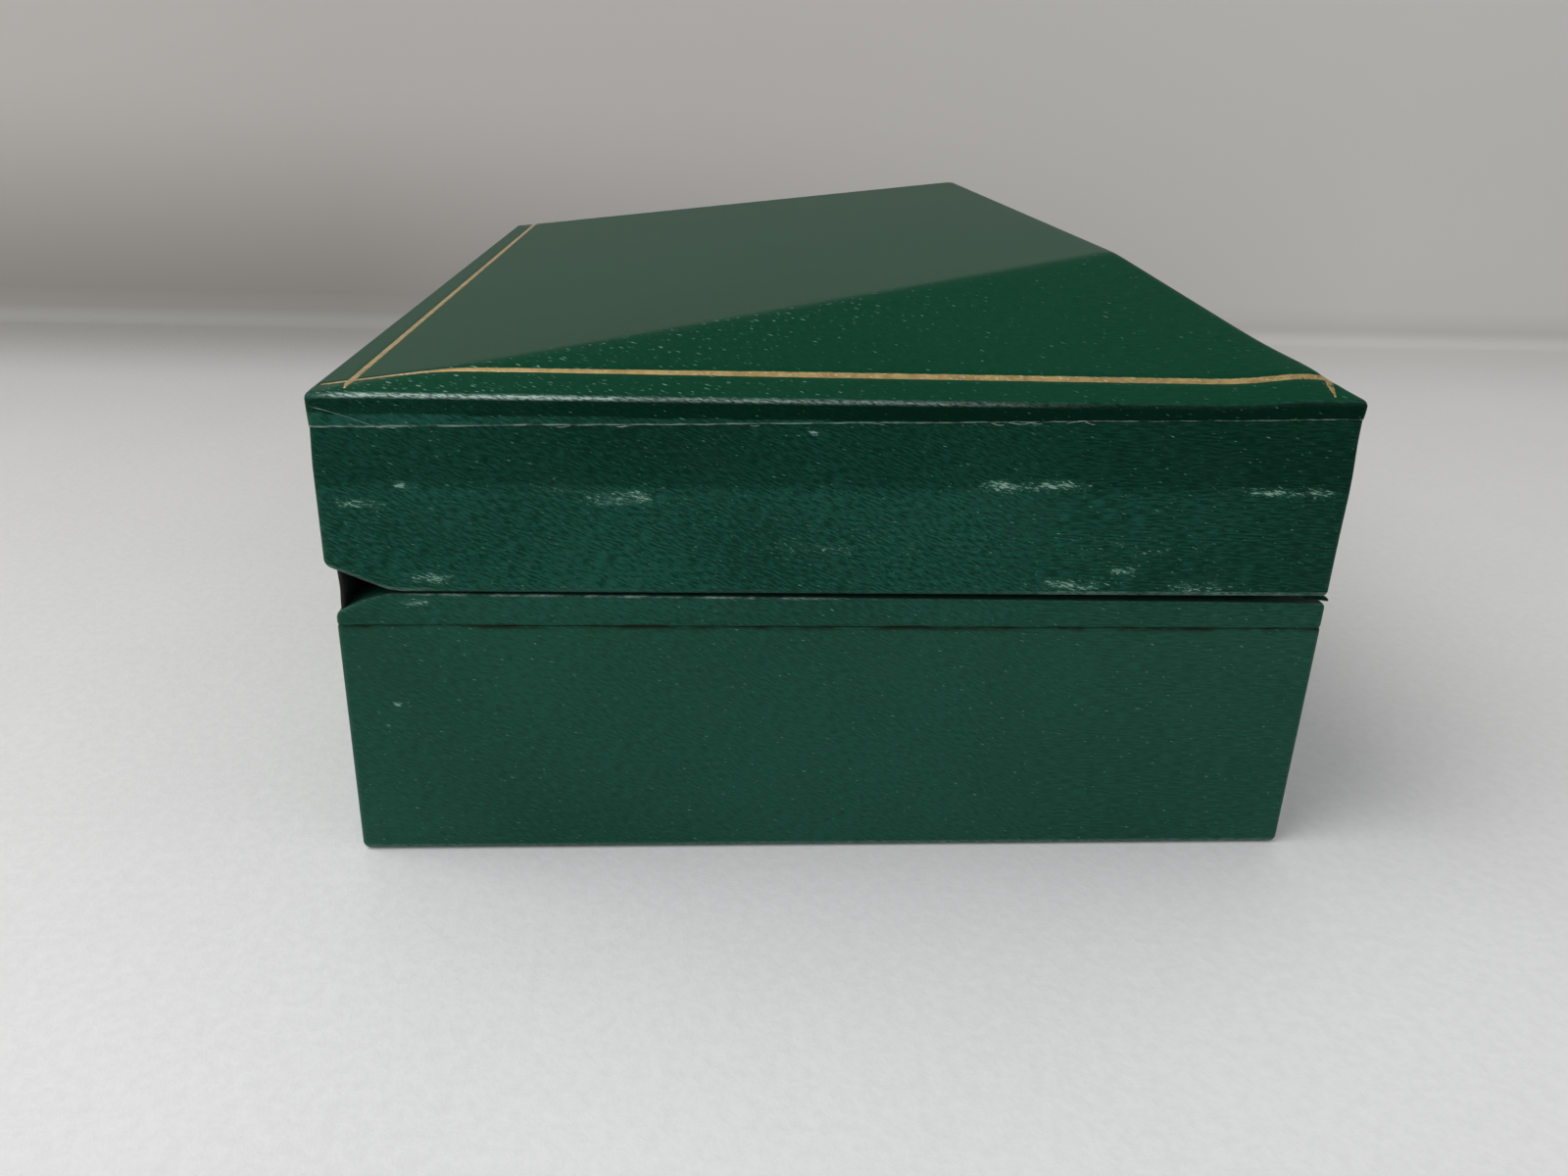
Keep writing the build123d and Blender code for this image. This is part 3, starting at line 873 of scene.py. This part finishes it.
# ---------------- materials
class Nodes:
    """Nodes of a material or world being wired up, with short calls for the kinds used here."""

    def __init__(self, owner):
        owner.use_nodes = True
        self.tree = owner.node_tree

    def node(self, kind, **settings):
        made = self.tree.nodes.new("ShaderNode" + kind)
        for key, value in settings.items():
            setattr(made, key, value)
        return made

    def plug(self, value, socket):
        if isinstance(value, bpy.types.NodeSocket):
            self.tree.links.new(value, socket)
        else:
            socket.default_value = value

    def number(self, operation, *values):
        made = self.node("Math", operation=operation)
        for value, socket in zip(values, made.inputs):
            self.plug(value, socket)
        return made.outputs[0]

    def plus(self, a, b):
        return self.number("ADD", a, b)

    def minus(self, a, b):
        return self.number("SUBTRACT", a, b)

    def times(self, a, b):
        return self.number("MULTIPLY", a, b)

    def attribute(self, name):
        return self.node("Attribute", attribute_name=name).outputs["Fac"]

    def scaled(self, vector, scale):
        made = self.node("VectorMath", operation="MULTIPLY")
        self.plug(vector, made.inputs[0])
        made.inputs[1].default_value = scale
        return made.outputs[0]

    def cloth(self, scale, degrees=0.0):
        """Cloth coordinates in millimetres, turned by an angle and then scaled."""
        turned = self.node("VectorRotate", rotation_type="Z_AXIS")
        self.plug(self.node("UVMap", uv_map="cloth").outputs[0], turned.inputs["Vector"])
        turned.inputs["Angle"].default_value = math.radians(degrees)
        return self.scaled(turned.outputs[0], (*scale, 1))

    def place(self, scale=1.0):
        """Position in the box's own frame, in millimetres, and then scaled."""
        at = self.node("TexCoord").outputs["Object"]
        return self.scaled(at, np.broadcast_to(scale, 3) / mm)

    def noise(self, vector, detail, rough, distortion=0.0, flat=False):
        made = self.node("TexNoise", noise_dimensions="2D" if flat else "3D")
        self.plug(vector, made.inputs["Vector"])
        for key, value in (("Scale", 1.0), ("Detail", detail), ("Roughness", rough),
                           ("Distortion", distortion)):
            made.inputs[key].default_value = value
        return made.outputs["Fac"]

    def grain(self, scale, detail=2.0, rough=0.5, distortion=0.0):
        """Noise through space, of so many periods per millimetre."""
        return self.noise(self.place(scale), detail, rough, distortion)

    def weave(self, scale, degrees=0.0, detail=3.0, rough=0.6, distortion=0.0):
        """Noise in the cloth, of so many periods per millimetre along and across a direction."""
        return self.noise(self.cloth(scale, degrees), detail, rough, distortion, flat=True)

    def ranged(self, value, low, high, to_low=0.0, to_high=1.0, smooth=True):
        made = self.node("MapRange",
                         interpolation_type="SMOOTHSTEP" if smooth else "LINEAR")
        for entry, socket in zip((value, low, high, to_low, to_high), made.inputs):
            self.plug(entry, socket)
        return made.outputs[0]

    def mixed(self, share, a, b):
        made = self.node("Mix", data_type="RGBA")
        self.plug(share, made.inputs["Factor"])
        for value, socket in ((a, made.inputs["A"]), (b, made.inputs["B"])):
            self.plug(value if isinstance(value, bpy.types.NodeSocket) else (*value, 1), socket)
        return made.outputs["Result"]

    def blended(self, share, a, b):
        made = self.node("Mix", data_type="FLOAT")
        for value, socket in zip((share, a, b), made.inputs[:1] + made.inputs[2:4]):
            self.plug(value, socket)
        return made.outputs[0]

    def bump(self, height, distance, strength=1.0, below=None):
        made = self.node("Bump")
        made.inputs["Distance"].default_value = distance
        self.plug(strength, made.inputs["Strength"])
        self.plug(height, made.inputs["Height"])
        if below is not None:
            self.plug(below, made.inputs["Normal"])
        return made.outputs[0]

    def split(self, vector):
        made = self.node("SeparateXYZ")
        self.plug(vector, made.inputs[0])
        return made.outputs


class Shader(Nodes):
    """A material with one surface."""

    def __init__(self, name, roughness=0.5):
        self.material = bpy.data.materials.new(name)
        super().__init__(self.material)
        self.surface = self.tree.nodes["Principled BSDF"]
        self.set(roughness=roughness)

    def set(self, **inputs):
        """Sets or links inputs of the surface, such as sheen_weight for Sheen Weight."""
        for key, value in inputs.items():
            title = key.replace("_", " ").title().replace("Ior", "IOR")
            self.plug(value, self.surface.inputs[title])

    def tones(self, value, low, high, dark, pale):
        """Colours the surface from dark to pale while a value goes from low to high."""
        self.set(base_color=self.mixed(self.ranged(value, low, high), dark, pale))


def leatherette():
    """Dark green cloth-grained leatherette: slanting fine strokes, pale rubbed flecks."""
    shade = Shader("green_leatherette")
    slanted = shade.weave((0.8, 4.6), -24)
    level = shade.weave((0.55, 4.8), -4)
    pores = shade.weave((6.5, 6.5), 0, 1, 0.5)
    broad = shade.grain((0.03, 0.03, 0.05))
    cloudy = shade.grain((0.10, 0.10, 0.14), 3)
    # the grain slants over most of the box and lies level near the front
    rearward = shade.split(shade.place())["Y"]
    rearward = shade.plus(rearward, shade.times(shade.minus(broad, 0.5), 60.0))
    strokes = shade.blended(shade.ranged(rearward, -36.0, -16.0), level, slanted)

    plain = shade.attribute("plain")
    share = shade.plus(strokes, shade.times(broad, 0.35))
    share = shade.ranged(share, 0.55, 0.80, smooth=False)
    sides = shade.mixed(share, (0.0048, 0.032, 0.0205), (0.0150, 0.086, 0.058))
    slopes = shade.mixed(share, (0.0025, 0.045, 0.020), (0.0038, 0.057, 0.027))
    dull = shade.times(shade.ranged(cloudy, 0.5, 0.75), shade.blended(plain, 0.2, 0.05))

    # rubbed fibres: where the noise passes a limit that wear brings down
    fleck = shade.weave((1.1, 5.0), -14, 4, 0.7, 0.3)
    patch = shade.weave((0.28, 0.6), -8)
    drive = shade.times(shade.attribute("wear"), shade.ranged(patch, 0.3, 0.66, 0.6, 1.2))
    edge = shade.minus(0.765, shade.times(drive, 0.29))
    speck = shade.weave((0.9, 5.2), -18, 1, 0.5)
    speck_edge = shade.minus(0.76, shade.times(shade.attribute("speck"), 0.095))
    excess = shade.number("MAXIMUM", shade.minus(fleck, edge), shade.minus(speck, speck_edge))
    fibres = shade.ranged(excess, 0.0, 0.07)
    rubbed = shade.ranged(fleck, 0.38, 0.62, 0.15, 1.15)
    frayed = shade.ranged(shade.weave((0.35, 2.0), 0, 3, 0.7), 0.36, 0.62, 0.1, 1.1)
    broken = shade.ranged(shade.weave((0.12, 0.6)), 0.42, 0.60, 0.12, 0.95)

    # the cloth's own green, then the layers over it, one share and colour after the other: wear and flecks, and
    # also painted shade and a painted highlight
    colour = shade.mixed(plain, sides, slopes)
    for share, over in (
        (dull, (0.022, 0.062, 0.046)),
        # a paler, bluer green on the base's covering, more on its sides than on its rim
        (shade.attribute("paler_tone"), (0.021, 0.078, 0.055)),
        # painted shade: the lid's band and eave, its left end above the ridge and towards the front, and the
        # corner flap
        (shade.attribute("shade"), (0.0008, 0.0125, 0.0065)),
        (shade.ranged(drive, 0.3, 1.2, 0.0, 0.22), (0.05, 0.15, 0.11)),
        (fibres, (0.06, 0.165, 0.12)),
        (shade.ranged(excess, 0.04, 0.16), (0.24, 0.37, 0.31)),
        # rubbed pale edges, with a painted highlight along the eave
        (shade.times(shade.attribute("rub"), rubbed), (0.46, 0.60, 0.54)),
        (shade.times(shade.attribute("cut"), frayed), (0.34, 0.42, 0.38)),
        (shade.times(shade.attribute("seam"), broken), (0.012, 0.009, 0.004)),
    ):
        colour = shade.mixed(share, colour, over)

    rough = shade.blended(plain, shade.ranged(cloudy, 0.3, 0.7, 0.40, 0.47), 0.435)
    relief = shade.bump(strokes, 0.10 * mm, shade.blended(plain, 0.6, 0.25))
    relief = shade.bump(pores, 0.02 * mm, 0.3, relief)
    shade.set(base_color=colour, roughness=shade.blended(fibres, rough, 0.8),
              specular_ior_level=shade.blended(shade.attribute("shade"), 0.11, 0.03),
              specular_tint=(0.2, 0.9, 0.55, 1),
              normal=shade.bump(fibres, 0.03 * mm, 0.4, relief))
    return shade.material


def gold_foil():
    """Pressed foil that takes the cloth grain and has gone in places, with painted glints."""
    shade = Shader("gold_foil")
    grain = shade.weave((1.6, 5.0), 20, 3, 0.65)
    tone = shade.grain(0.5)
    foil = shade.mixed(shade.ranged(tone, 0.35, 0.7), (0.49, 0.345, 0.135), (0.68, 0.49, 0.205))
    # painted glints: pale specks where the grain noise peaks, also made smoother
    painted_glint = shade.ranged(grain, 0.585, 0.65)
    foil = shade.mixed(painted_glint, foil, (0.95, 0.8, 0.52))
    edge = shade.minus(0.78, shade.times(shade.attribute("wear"), 0.34))
    gone = shade.times(shade.ranged(grain, edge, shade.plus(edge, 0.03)),
                       shade.ranged(tone, 0.4, 0.5))
    shade.set(base_color=shade.mixed(gone, foil, (0.01, 0.05, 0.032)),
              metallic=shade.blended(gone, 0.85, 0.0), roughness=shade.blended(painted_glint, 0.45, 0.22),
              normal=shade.bump(grain, 0.05 * mm, 0.5))
    return shade.material


def bookcloth():
    """Black woven hinge cloth."""
    shade = Shader("black_bookcloth", 0.85)
    weave = []
    for direction in ("X", "Y"):
        wave = shade.node("TexWave", bands_direction=direction)
        shade.plug(shade.cloth((0.9, 0.9)), wave.inputs["Vector"])
        wave.inputs["Distortion"].default_value = 0.6
        weave.append(wave.outputs["Fac"])
    shade.tones(shade.grain(1.2, 4), 0.4, 0.8, (0.004, 0.004, 0.004), (0.016, 0.016, 0.015))
    shade.set(normal=shade.bump(shade.times(*weave), 0.06 * mm, 0.6))
    return shade.material


def velvet():
    """Deep green velvet: dark straight on, bright along the pile, brushed this way and that."""
    shade = Shader("green_velvet", 0.95)
    brushed = shade.grain((0.035, 0.035, 0.06), 3, 0.55, 0.6)
    pile = shade.grain(2.6, 3, 0.6)
    shade.tones(shade.blended(0.3, brushed, pile), 0.3, 0.7,
                (0.0035, 0.022, 0.0135), (0.0085, 0.046, 0.0285))
    shade.set(specular_ior_level=0.08, sheen_weight=shade.ranged(brushed, 0.3, 0.7, 0.55, 0.85),
              sheen_roughness=0.38, sheen_tint=(0.25, 0.75, 0.5, 1),
              normal=shade.bump(pile, 0.12 * mm, 0.6))
    return shade.material


def satin():
    """Ivory satin: fine lustrous threads one way, a soft play of light in its folds."""
    shade = Shader("ivory_satin")
    thread = shade.grain((0.35, 7.0, 3.0), 3, 0.6)
    slub = shade.grain((0.06, 0.5, 0.5), 1)
    aged = shade.grain((0.018, 0.022, 0.03), 3)
    shade.tones(shade.blended(0.6, aged, thread), 0.3, 0.7, (0.68, 0.59, 0.43), (0.76, 0.68, 0.52))
    shade.set(roughness=shade.ranged(slub, 0.3, 0.7, 0.30, 0.37), anisotropic=0.6,
              sheen_weight=0.25, normal=shade.bump(thread, 0.02 * mm, 0.5))
    return shade.material


def suede_cloth():
    """Ivory suede cloth on the cushion: short nap with darker strokes."""
    shade = Shader("ivory_suede_cloth", 0.92)
    nap = shade.grain(1.8, 4, 0.65)
    strokes = shade.grain((0.07, 0.16, 0.12), 3, 0.6, 0.8)
    shade.tones(shade.blended(0.35, strokes, nap), 0.35, 0.65,
                (0.47, 0.38, 0.245), (0.64, 0.55, 0.395))
    shade.set(specular_ior_level=0.15, sheen_weight=0.5, sheen_roughness=0.5,
              normal=shade.bump(nap, 0.09 * mm, 0.55))
    return shade.material


def pale_fibre():
    """Grey-green backing fibre that shows where the leatherette has frayed."""
    shade = Shader("pale_fibre", 0.8)
    shade.tones(shade.grain(0.9), 0.35, 0.65, (0.13, 0.20, 0.17), (0.36, 0.44, 0.40))
    return shade.material


def twisted_cord():
    """Ivory cord with its twist."""
    shade = Shader("twisted_cord", 0.7)
    wave = shade.node("TexWave", bands_direction="DIAGONAL")
    shade.plug(shade.cloth((0.55, 0.55)), wave.inputs["Vector"])
    twist = wave.outputs["Fac"]
    tone = shade.blended(0.3, twist, shade.grain(3.0))
    shade.set(base_color=shade.mixed(tone, (0.36, 0.29, 0.19), (0.66, 0.58, 0.43)),
              normal=shade.bump(twist, 0.12 * mm, 0.7))
    return shade.material


def bare_wood(name, pale, dark):
    """Plain sanded softwood, or board: growth lines along it, fine pores."""
    shade = Shader(name)
    wave = shade.node("TexWave", bands_direction="Z")
    shade.plug(shade.place((0.02, 0.25, 0.25)), wave.inputs["Vector"])
    wave.inputs["Distortion"].default_value = 6
    pores = shade.grain((0.25, 3.0, 3.0), 3)
    lines = shade.blended(0.5, shade.grain((0.012, 0.35, 0.35), 4, 0.6, 1.2), wave.outputs["Fac"])
    shade.tones(lines, 0.3, 0.7, pale, dark)
    shade.set(roughness=shade.ranged(pores, 0.3, 0.7, 0.6, 0.8),
              normal=shade.bump(pores, 0.05 * mm, 0.5))
    return shade.material


def baize():
    """Dark green baize under the box."""
    shade = Shader("green_baize", 0.95)
    felt = shade.grain(1.4, 5, 0.7)
    worn = shade.grain(0.04, 3)
    shade.tones(shade.blended(0.5, felt, worn), 0.35, 0.65,
                (0.006, 0.028, 0.018), (0.018, 0.06, 0.04))
    shade.set(sheen_weight=0.3, normal=shade.bump(felt, 0.15 * mm, 0.7))
    return shade.material


# ---------------- stage, light and camera
def pale_stone():
    """Faintly sparkling stone, with the grey plaster of the wall behind it; painted light and shade lie on both.
    """
    shade = Shader("pale_stone")
    crystal = shade.grain(0.6, 3, 0.7)
    vein = shade.ranged(shade.blended(0.6, shade.grain(0.016, 5, 0.6), crystal), 0.35, 0.65)
    stone = shade.mixed(vein, (0.92, 0.92, 0.92), (0.98, 0.98, 0.98))
    depth, side, height = shade.split(shade.place())
    # light falls on the right half of the wall; the left half and its foot lie in shade
    rightwards = shade.ranged(side, 150.0, -250.0, smooth=False)
    on_wall = shade.ranged(height, 0.1, 6.0)
    up_wall = shade.ranged(height, 5.0, 90.0)
    dim_wall = shade.mixed(up_wall, (0.36, 0.343, 0.318), (0.55, 0.525, 0.50))
    lit_wall = shade.mixed(up_wall, (0.68, 0.66, 0.63), (0.645, 0.625, 0.60))
    plaster = shade.mixed(rightwards, dim_wall, lit_wall)
    plaster = shade.mixed(shade.ranged(height, 14.0, 3.0, 0.0, 0.35), plaster, (0.2, 0.19, 0.18))
    # painted shade on the floor: greyer away from the camera, darker on the left, and darker still at the wall's
    # foot
    painted_far_shade = shade.mixed(rightwards, (0.40, 0.39, 0.375), (0.66, 0.65, 0.63))
    away = shade.ranged(depth, -120.0, 250.0, 0.0, 0.75, smooth=False)
    stone = shade.mixed(away, stone, painted_far_shade)
    painted_foot_shade = shade.mixed(rightwards, (0.34, 0.33, 0.31), (0.66, 0.645, 0.62))
    stone = shade.mixed(shade.ranged(depth, 165.0, 262.0, 0.0, 0.85), stone, painted_foot_shade)
    relief = shade.times(crystal, shade.minus(1.0, on_wall))
    shade.set(base_color=shade.mixed(on_wall, stone, plaster),
              roughness=shade.ranged(shade.grain(1.6), 0.3, 0.75, 0.62, 0.3),
              normal=shade.bump(relief, 0.2 * mm, 0.45),
              specular_ior_level=shade.blended(on_wall, 0.3, 0.05))
    # the wall is clear from behind, so that it hides nothing from a camera outside it
    either = shade.node("MixShader")
    shade.plug(shade.node("NewGeometry").outputs["Backfacing"], either.inputs[0])
    shade.plug(shade.surface.outputs[0], either.inputs[1])
    shade.plug(shade.node("BsdfTransparent").outputs[0], either.inputs[2])
    shade.plug(either.outputs[0], shade.tree.nodes["Material Output"].inputs["Surface"])
    return shade.material


def stone_floor():
    """A stone surface that runs up in a tight sweep into the wall."""
    near, far, wide, height = -1.6, 0.27, 2.0, 1.2
    sweep = 0.012
    profile = [(near, 0.0), (far - sweep, 0.0)]
    for angle in np.linspace(0, math.pi / 2, 13)[1:]:
        profile.append((far - sweep * (1 - math.sin(angle)), sweep * (1 - math.cos(angle))))
    profile.append((far, height))
    rows = [[(x, y, z) for y in np.linspace(-wide, wide, 25)] for x, z in profile]
    floor = lattice("floor", rows, closed=False, merge=0)
    floor.data.flip_normals()
    floor.data.materials.append(pale_stone())


def camera():
    """A phone held close to the box's left end, a little above it."""
    lens = bpy.data.cameras.new("camera")
    lens.sensor_width, lens.lens = 36.0, 28.25
    lens.clip_start = 0.01
    yaw, pitch, roll = 0.0693, 0.3919, 0.0322
    aim = Euler((math.pi / 2 - pitch, 0, -math.pi / 2 - yaw)).to_matrix().to_4x4()
    eye = linked("camera", lens)
    eye.matrix_world = (Matrix.Translation((-0.216, 0.0161, 0.092)) @ aim
                        @ Matrix.Rotation(roll, 4, "Z"))
    bpy.context.scene.camera = eye


def window():
    """A broad soft light from behind the box's rear."""
    lamp = bpy.data.lights.new("window", "AREA")
    lamp.shape, lamp.size, lamp.energy = "DISK", 1.1, 7.6
    location, target = Vector((-0.25, 0.75, 0.95)), Vector((0, 0, 0.03))
    aim = (target - location).to_track_quat("-Z", "Y").to_matrix().to_4x4()
    linked("window", lamp).matrix_world = Matrix.Translation(location) @ aim


def soft_room():
    """Daylight from all round: a dim ceiling and a brighter room below it."""
    world = bpy.data.worlds.new("studio")
    bpy.context.scene.world = world
    room = Nodes(world)
    light = room.tree.nodes["Background"].inputs
    height = room.split(room.node("TexCoord").outputs["Generated"])["Z"]
    room.plug(room.ranged(height, -0.1, 0.9, 0.88, 0.32, smooth=False), light["Strength"])
    room.plug((0.97, 0.985, 1.0, 1), light["Color"])
    bpy.context.scene.view_settings.view_transform = "Standard"


# ---------------- put the box together
def put(piece, body, finish, node=None):
    """Gives a piece its finish and the body it moves with, or leaves it blended if that is
    None; node is the CAD node in whose place it stands, if it stands for one."""
    piece.data.materials.append(finish)
    if body is not None:
        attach(piece, body)
    if node is not None:
        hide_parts(node)


green = leatherette()
put(top_sheet(), "lid", green, "lid_top_cover")
put(lid_side_sheet(), "lid", green, "lid_side_wrap")
put(rim_sheet(), "base", green, "base_rim_strip")
put(base_side_sheet(), "base", green, "base_side_wrap")
foil = gold_foil()
for ribbon in gold_border():
    put(ribbon, "lid", foil, "gold_border")
put(hinge_cloth(), None, bookcloth(), "hinge_cloth")
fibre = pale_fibre()
for thread in loose_threads():
    put(thread, "lid", fibre)
put(corner_flap(), "lid", green)

pile = velvet()
ivory = satin()
for side in side_names:
    for node, body, slot, finish, softness in (
        (f"base_{side}_liner", "base", "velvet", pile, 0.75 * mm),
        (f"well_{side}_card", "base", "velvet", pile, 0.6 * mm),
        (f"lid_{side}_liner", "lid", "satin", ivory, 0.7 * mm),
    ):
        put(mitred_card(node, side, softness), body, finish, node)
put(insert_deck(), "base", pile, "insert_deck")
cushion, cords = watch_cushion()
put(cushion, "cushion", suede_cloth(), "watch_cushion")
cord_finish = twisted_cord()
for piece in cords:
    put(piece, "cushion", cord_finish)
put(satin_pad(), "lid", ivory, "lid_satin_pad")

# pieces whose CAD shape is already right, and only need their finish
boards = bare_wood("bare_softwood", (0.60, 0.42, 0.24), (0.42, 0.26, 0.13))
pasteboard = bare_wood("grey_pasteboard", (0.34, 0.31, 0.26), (0.27, 0.245, 0.2))
finishes = {"board": boards, "card": pasteboard, "velvet": pile, "underside_sheet": baize()}
for entry in frame["record"]["subparts"]:
    finish = finishes.get(entry["material_slot"])
    if finish is not None:
        node = frame["nodes"][entry["node"]]
        node.data.materials.clear()
        node.data.materials.append(finish)

stone_floor()
soft_room()
window()
camera()
